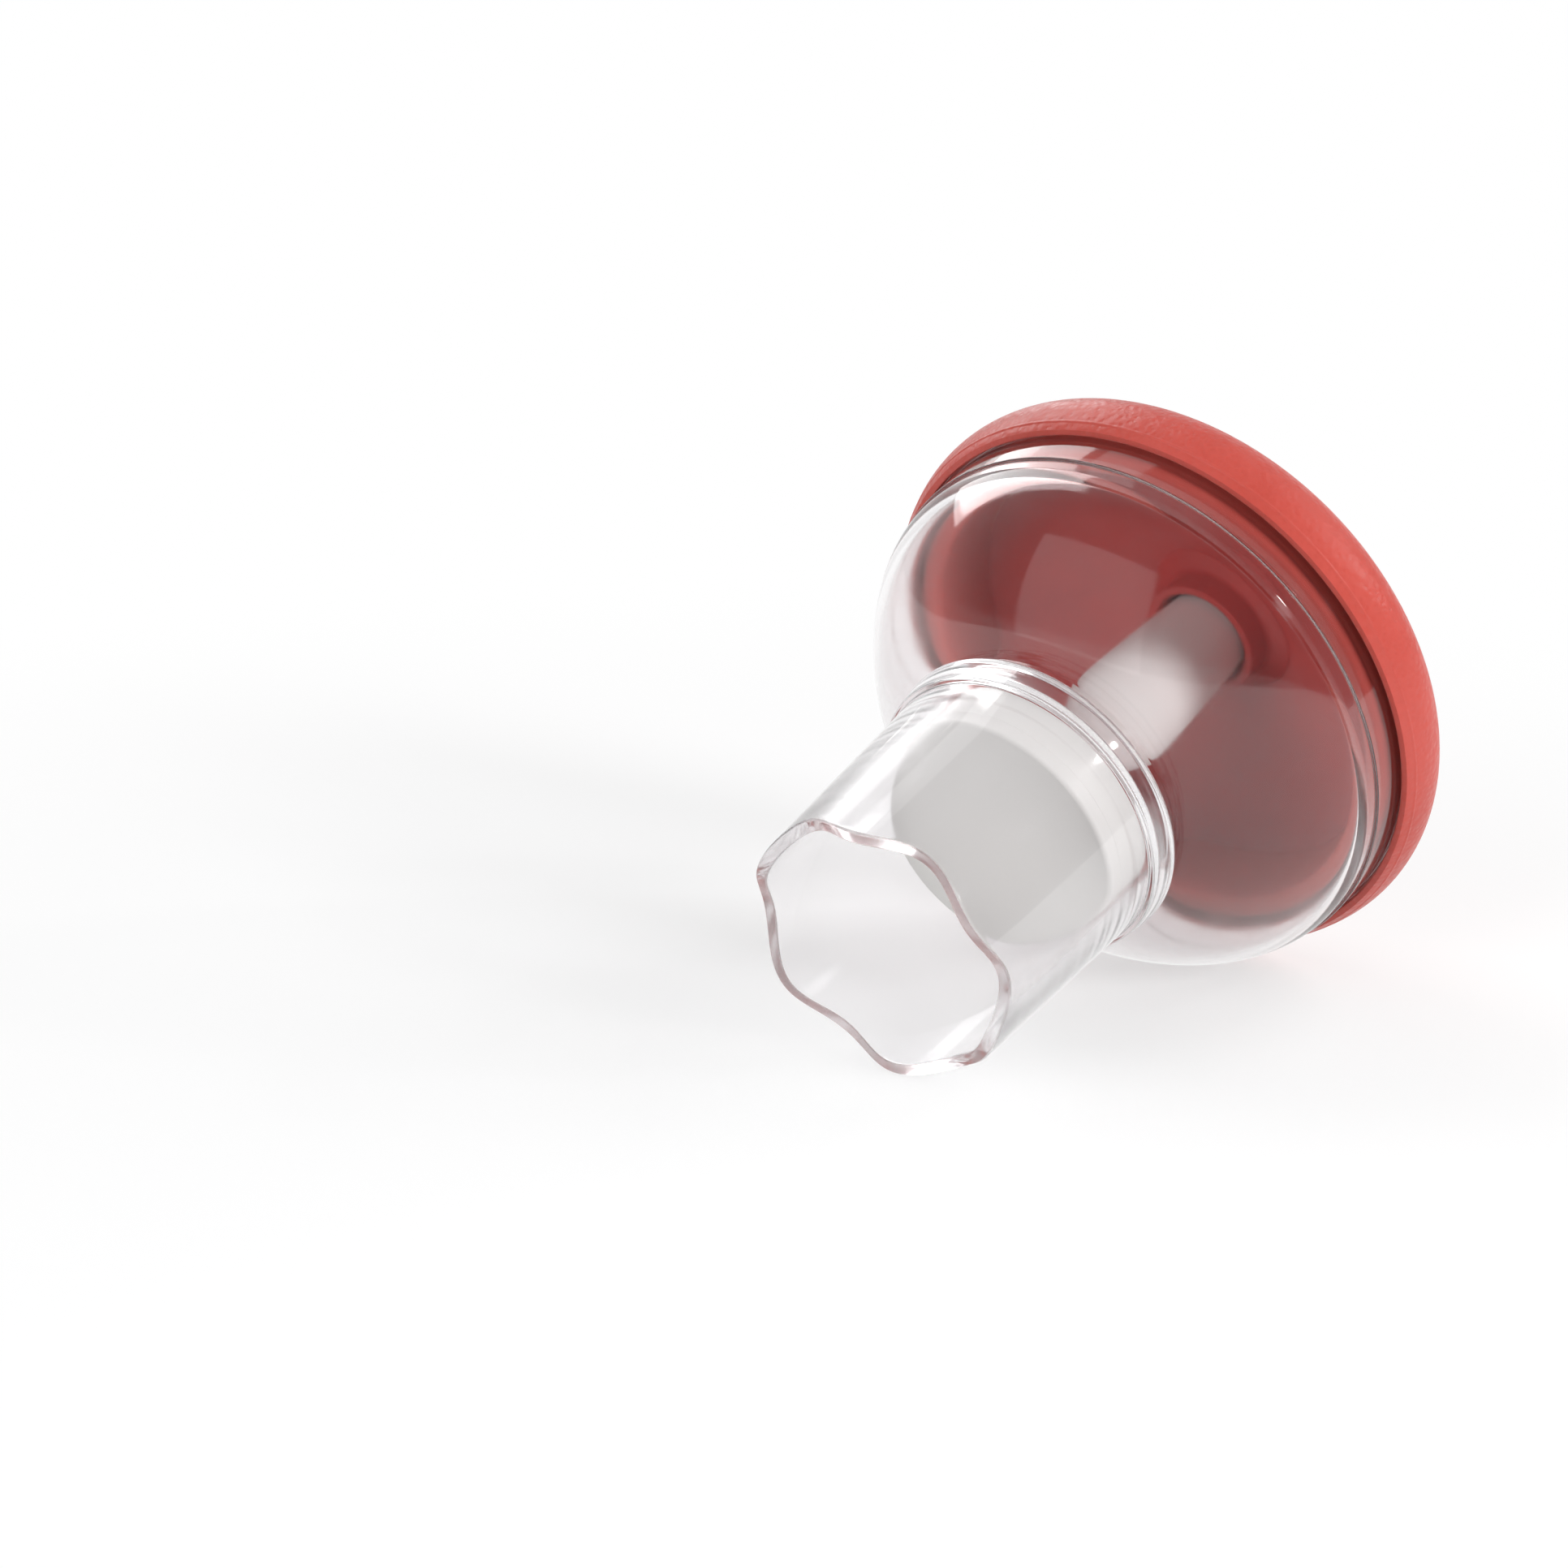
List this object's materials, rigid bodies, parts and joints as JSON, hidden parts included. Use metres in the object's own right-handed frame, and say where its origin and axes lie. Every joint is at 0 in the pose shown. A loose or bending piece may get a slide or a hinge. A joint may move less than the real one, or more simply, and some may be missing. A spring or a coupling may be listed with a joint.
{
  "type": "cupcake corer",
  "caption": "Clear wavy-edged cutter tube under a clear bell-shaped palm bowl, with a soft red domed cap that presses a white plunger down the tube to push the core out.",
  "frame": {"origin": "centre of the circle of tooth tips, on the plane that they stand on", "axes": "+Z along the tube's axis from the cutting edge to the crown of the cap; +X through a tooth tip"},
  "size_m": [0.07, 0.07, 0.074],
  "materials": {
    "clear_plastic": "clear, polished",
    "red_silicone": "soft satin with a fine grain",
    "white_plastic": "satin moulded"
  },
  "bodies": {
    "body": {"cutter_tube": "clear_plastic", "bowl": "clear_plastic", "cap_rim": "red_silicone", "cap_web": "red_silicone"},
    "ejector": {"cap_button": "red_silicone", "plunger": "white_plastic", "plunger_face": "white_plastic"}
  },
  "joints": [
    {"name": "press", "type": "slide", "parent": "body", "child": "ejector", "axis": [0, 0, -1], "range_m": [0, 0.0209], "stiffness_N_per_m": 400, "deforming": ["cap_web"]}
  ]
}
